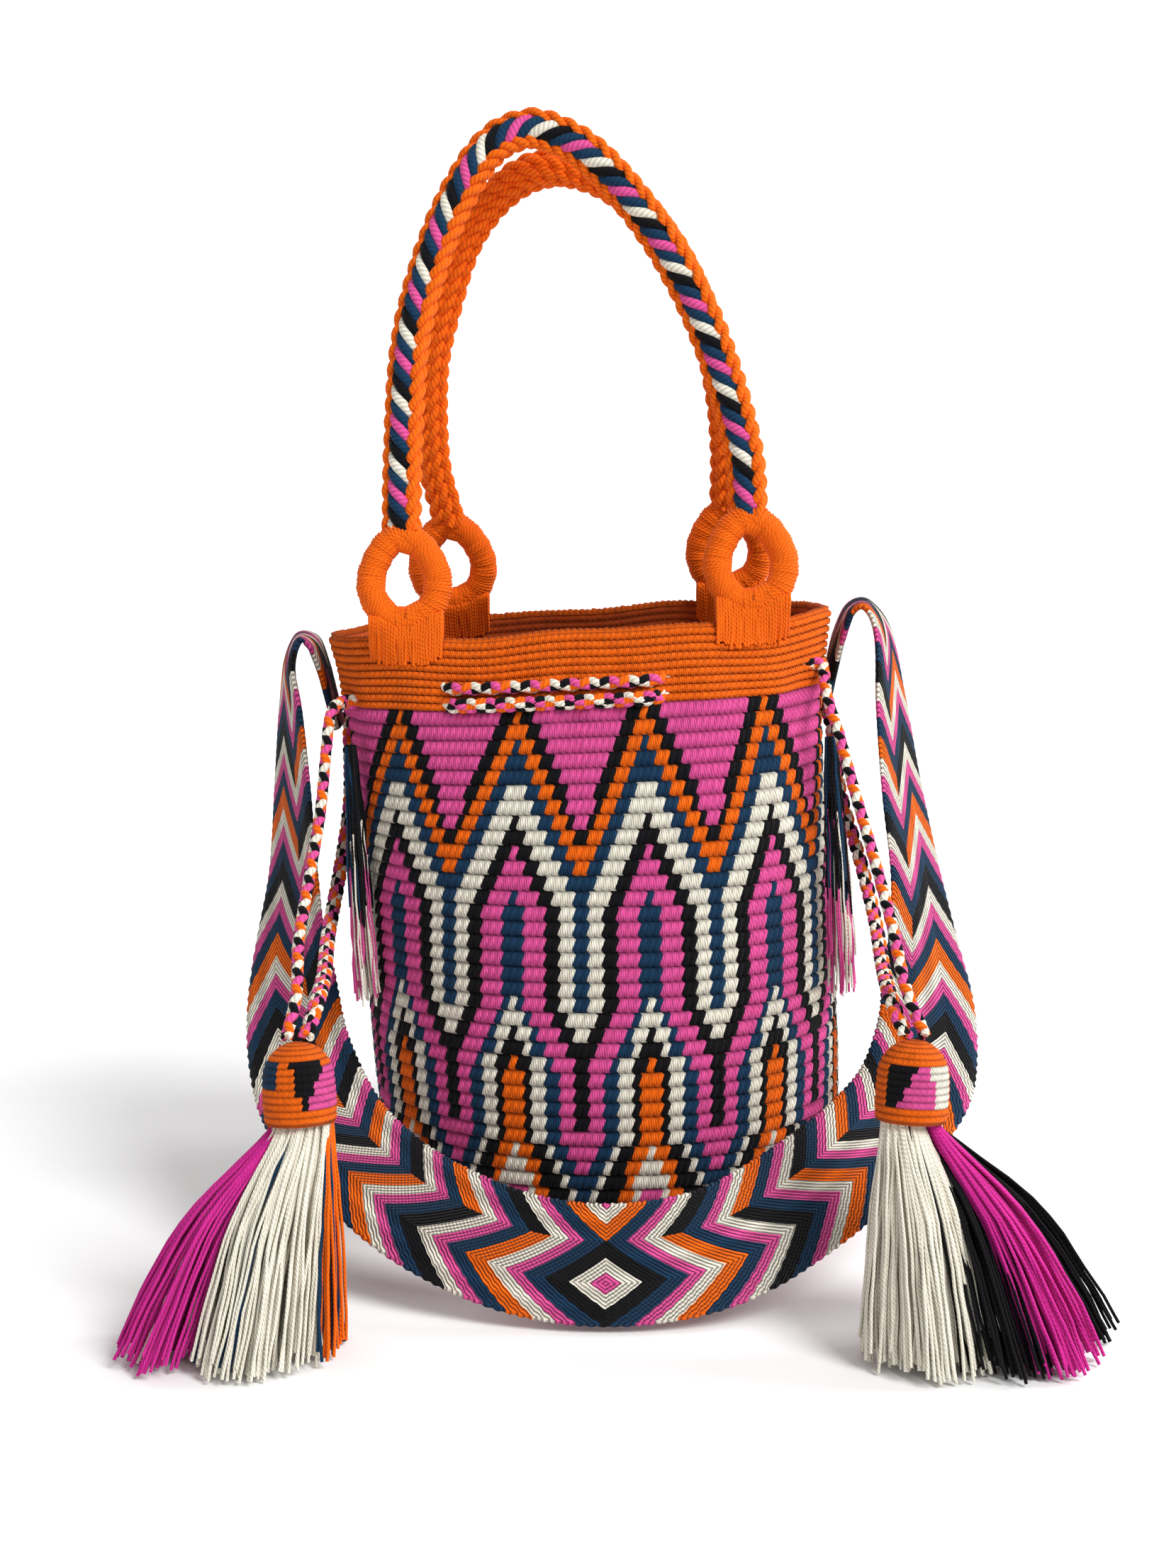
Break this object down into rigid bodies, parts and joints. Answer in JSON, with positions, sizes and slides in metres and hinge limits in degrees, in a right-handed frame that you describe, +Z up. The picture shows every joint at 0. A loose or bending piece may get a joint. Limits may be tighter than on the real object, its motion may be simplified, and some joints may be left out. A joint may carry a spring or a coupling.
{
  "type": "crocheted bucket bag",
  "caption": "Crocheted bucket bag with a zigzag pattern, a rope handle on each side of the mouth, a woven shoulder strap, and drawstrings that end in tassels.",
  "frame": {"origin": "centre of the flat crocheted base, on the floor", "axes": "+Z up; -Y is the front, where the shoulder strap hangs; +X is the bag's right seen from the front"},
  "size_m": [0.417, 0.3245, 0.5357],
  "materials": {
    "body_crochet": "matt crocheted yarn; magenta pink ground with black, orange, navy and cream zigzags and an orange collar",
    "orange_yarn": "matt twisted yarn, orange",
    "rope_yarn": "matt yarn wrapped in slanting stripes of white, navy, pink and black",
    "strap_weave": "matt woven yarn in zigzag bands of pink, cream, black, navy and orange",
    "cord_braid": "matt braid of pink, cream, orange and black yarn",
    "magenta_yarn": "matt twisted yarn, magenta",
    "cream_yarn": "matt twisted yarn, cream",
    "black_yarn": "matt twisted yarn, black and navy"
  },
  "bodies": {
    "bag": {"bag_body": "body_crochet", "front_left_whipping": "orange_yarn", "front_right_whipping": "orange_yarn", "rear_left_whipping": "orange_yarn", "rear_right_whipping": "orange_yarn", "shoulder_strap": "strap_weave", "left_drawstring": "cord_braid", "left_tassel_cap": "orange_yarn", "left_strap_tail": "black_yarn", "right_drawstring": "cord_braid", "right_tassel_cap": "orange_yarn", "right_strap_tail": "black_yarn", "left_tassel_magenta_fringe": "magenta_yarn", "left_tassel_cream_fringe": "cream_yarn", "left_tassel_orange_fringe": "orange_yarn", "right_tassel_cream_fringe": "cream_yarn", "right_tassel_magenta_fringe": "magenta_yarn", "right_tassel_black_fringe": "black_yarn"},
    "front_handle": {"front_handle_rope": "rope_yarn", "front_handle_binding": "orange_yarn", "front_left_loop": "orange_yarn", "front_right_loop": "orange_yarn"},
    "rear_handle": {"rear_handle_rope": "rope_yarn", "rear_handle_binding": "orange_yarn", "rear_left_loop": "orange_yarn", "rear_right_loop": "orange_yarn"}
  },
  "joints": [
    {"name": "front_handle_tip", "type": "hinge", "parent": "bag", "child": "front_handle", "pos_m": [-0.018, -0.0522, 0.3037], "axis": [0.9986, 0, 0.0523], "range_deg": [0, 95]},
    {"name": "rear_handle_tip", "type": "hinge", "parent": "bag", "child": "rear_handle", "pos_m": [-0.018, 0.0548, 0.3037], "axis": [-0.9986, 0, -0.0523], "range_deg": [0, 95]}
  ]
}
